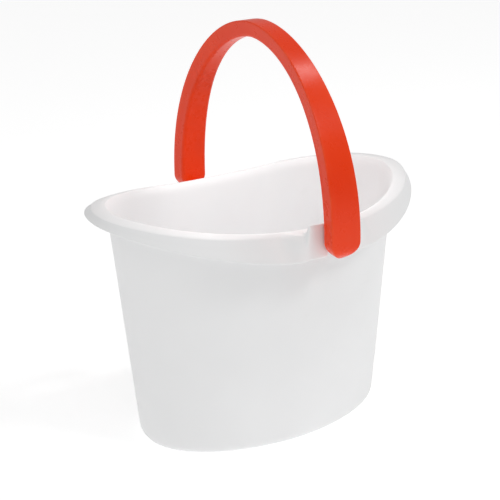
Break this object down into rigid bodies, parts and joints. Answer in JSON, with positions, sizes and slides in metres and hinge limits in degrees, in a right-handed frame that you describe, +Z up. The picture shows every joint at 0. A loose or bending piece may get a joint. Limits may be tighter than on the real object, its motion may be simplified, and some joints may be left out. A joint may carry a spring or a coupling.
{
  "type": "bucket",
  "caption": "Half-round open bucket, flat at the back and bowed at the front, with an overhanging rim and a broad arched carrying handle hinged front and back.",
  "frame": {"origin": "on the floor plane, under the middle of the whole object's box", "axes": "+Z up, +X along the bucket's long side, +Y towards its flat back; the bowed front is at -Y"},
  "size_m": [0.3678, 0.3034, 0.429],
  "materials": {
    "white_plastic": "satin moulded white plastic",
    "orange_plastic": "semi-gloss moulded orange plastic"
  },
  "bodies": {
    "bucket": {"bucket_shell": "white_plastic"},
    "bail": {"bail_handle": "orange_plastic"}
  },
  "joints": [
    {"name": "bail_swing", "type": "hinge", "parent": "bucket", "child": "bail", "pos_m": [0, 0, 0.23], "axis": [0, 1, 0], "range_deg": [-76, 76]}
  ]
}
